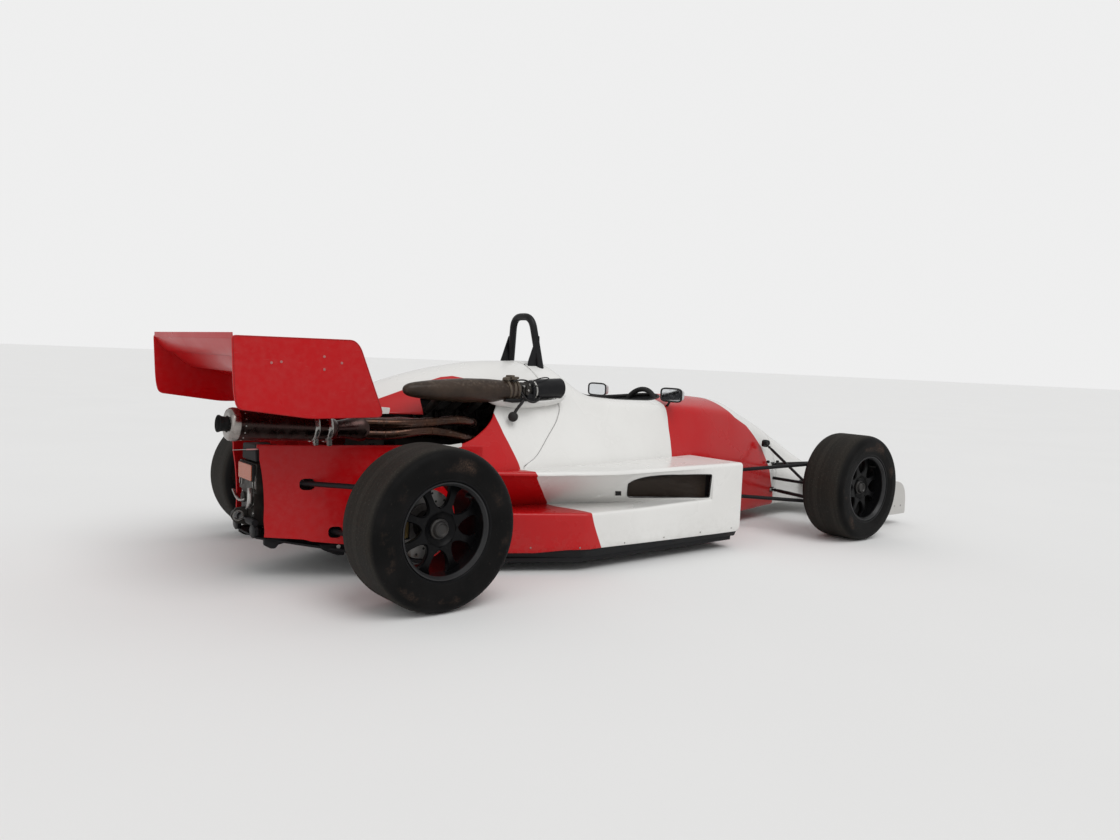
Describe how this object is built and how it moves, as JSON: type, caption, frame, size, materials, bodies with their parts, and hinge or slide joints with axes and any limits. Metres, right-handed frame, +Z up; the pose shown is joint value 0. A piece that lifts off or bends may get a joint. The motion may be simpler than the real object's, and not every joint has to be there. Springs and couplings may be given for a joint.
{
  "type": "open wheel racing car",
  "caption": "Single-seat open wheel racing car with long sidepods, a side-exhaust engine under an open-sided cover, front and rear wings, slick tyres and pushrod suspension.",
  "frame": {"origin": "on the ground, on the centre line, halfway along the car", "axes": "+X forward, +Y to the car's left, +Z up"},
  "size_m": [4.024, 1.72, 1.09],
  "materials": {
    "body_white": "gloss paint over moulded skins",
    "body_red": "gloss paint over moulded skins",
    "floor_black": "matte black moulded",
    "steel_black": "satin black paint",
    "alloy_dull": "dull cast alloy",
    "steel_pipe": "heat-tinted steel",
    "plenum_brown": "clear-coated brown fibre",
    "seat_black": "plain woven cover",
    "lamp_red": "clear red lens",
    "wheel_grip": "suede grip",
    "tyre": "worn slick rubber",
    "rim_dark": "dark grey paint",
    "hub_iron": "machined iron"
  },
  "bodies": {
    "chassis": {"monocoque": "body_white", "nose_cone": "body_white", "roll_hoop": "steel_black", "engine_cover": "body_white", "tail_panels": "body_red", "floor": "floor_black", "sidepod_left": "body_white", "sidepod_right": "body_white", "radiators": "alloy_dull", "window_mesh": "floor_black", "engine_block": "alloy_dull", "gearbox": "alloy_dull", "exhaust_headers": "steel_pipe", "silencer": "steel_pipe", "air_plenum": "plenum_brown", "intake_duct": "floor_black", "rear_wing_planes": "body_red", "rear_wing_plates": "body_red", "rear_wing_pillar": "alloy_dull", "front_wing_planes": "body_white", "front_wing_plates": "body_white", "seat": "seat_black", "mirrors": "floor_black", "rain_light": "lamp_red", "front_wishbones": "steel_black", "rear_wishbones": "steel_black", "front_pushrods": "steel_black", "rear_pushrods": "steel_black", "rear_uprights": "alloy_dull"},
    "steering_column": {"steering_wheel": "wheel_grip"},
    "rack_bar": {"steering_rack": "steel_black"},
    "knuckle_left": {"front_upright_left": "alloy_dull"},
    "knuckle_right": {"front_upright_right": "alloy_dull"},
    "wheel_front_left": {"front_tyre_left": "tyre", "front_rim_left": "rim_dark", "front_hub_left": "hub_iron"},
    "wheel_front_right": {"front_tyre_right": "tyre", "front_rim_right": "rim_dark", "front_hub_right": "hub_iron"},
    "wheel_rear_left": {"rear_tyre_left": "tyre", "rear_rim_left": "rim_dark", "rear_hub_left": "hub_iron"},
    "wheel_rear_right": {"rear_tyre_right": "tyre", "rear_rim_right": "rim_dark", "rear_hub_right": "hub_iron"}
  },
  "joints": [
    {"name": "steer_left", "type": "hinge", "parent": "chassis", "child": "knuckle_left", "pos_m": [1.142, 0.628, 0.165], "axis": [-0.0634, -0.0634, 0.996], "range_deg": [-16, 16]},
    {"name": "steer_right", "type": "hinge", "parent": "chassis", "child": "knuckle_right", "pos_m": [1.142, -0.628, 0.165], "axis": [-0.0634, 0.0634, 0.996], "range_deg": [-16, 16]},
    {"name": "rack_slide", "type": "slide", "parent": "chassis", "child": "rack_bar", "axis": [0, 1, 0], "range_m": [-0.024, 0.024]},
    {"name": "steering", "type": "hinge", "parent": "chassis", "child": "steering_column", "pos_m": [0.272, 0, 0.622], "axis": [-0.9703, 0, 0.2419], "range_deg": [-180, 180]},
    {"name": "spin_front_left", "type": "hinge", "parent": "knuckle_left", "child": "wheel_front_left", "pos_m": [1.14, 0.74, 0.275], "axis": [0, 1, 0], "continuous": true},
    {"name": "spin_front_right", "type": "hinge", "parent": "knuckle_right", "child": "wheel_front_right", "pos_m": [1.14, -0.74, 0.275], "axis": [0, 1, 0], "continuous": true},
    {"name": "spin_rear_left", "type": "hinge", "parent": "chassis", "child": "wheel_rear_left", "pos_m": [-1.4, 0.7175, 0.285], "axis": [0, 1, 0], "continuous": true},
    {"name": "spin_rear_right", "type": "hinge", "parent": "chassis", "child": "wheel_rear_right", "pos_m": [-1.4, -0.7175, 0.285], "axis": [0, 1, 0], "continuous": true}
  ],
  "couplings": [
    {"joint": "steer_right", "follows": "steer_left", "ratio": 1},
    {"joint": "rack_slide", "follows": "steer_left", "m_per_rad": 0.0826},
    {"joint": "steering", "follows": "steer_left", "ratio": 10}
  ]
}
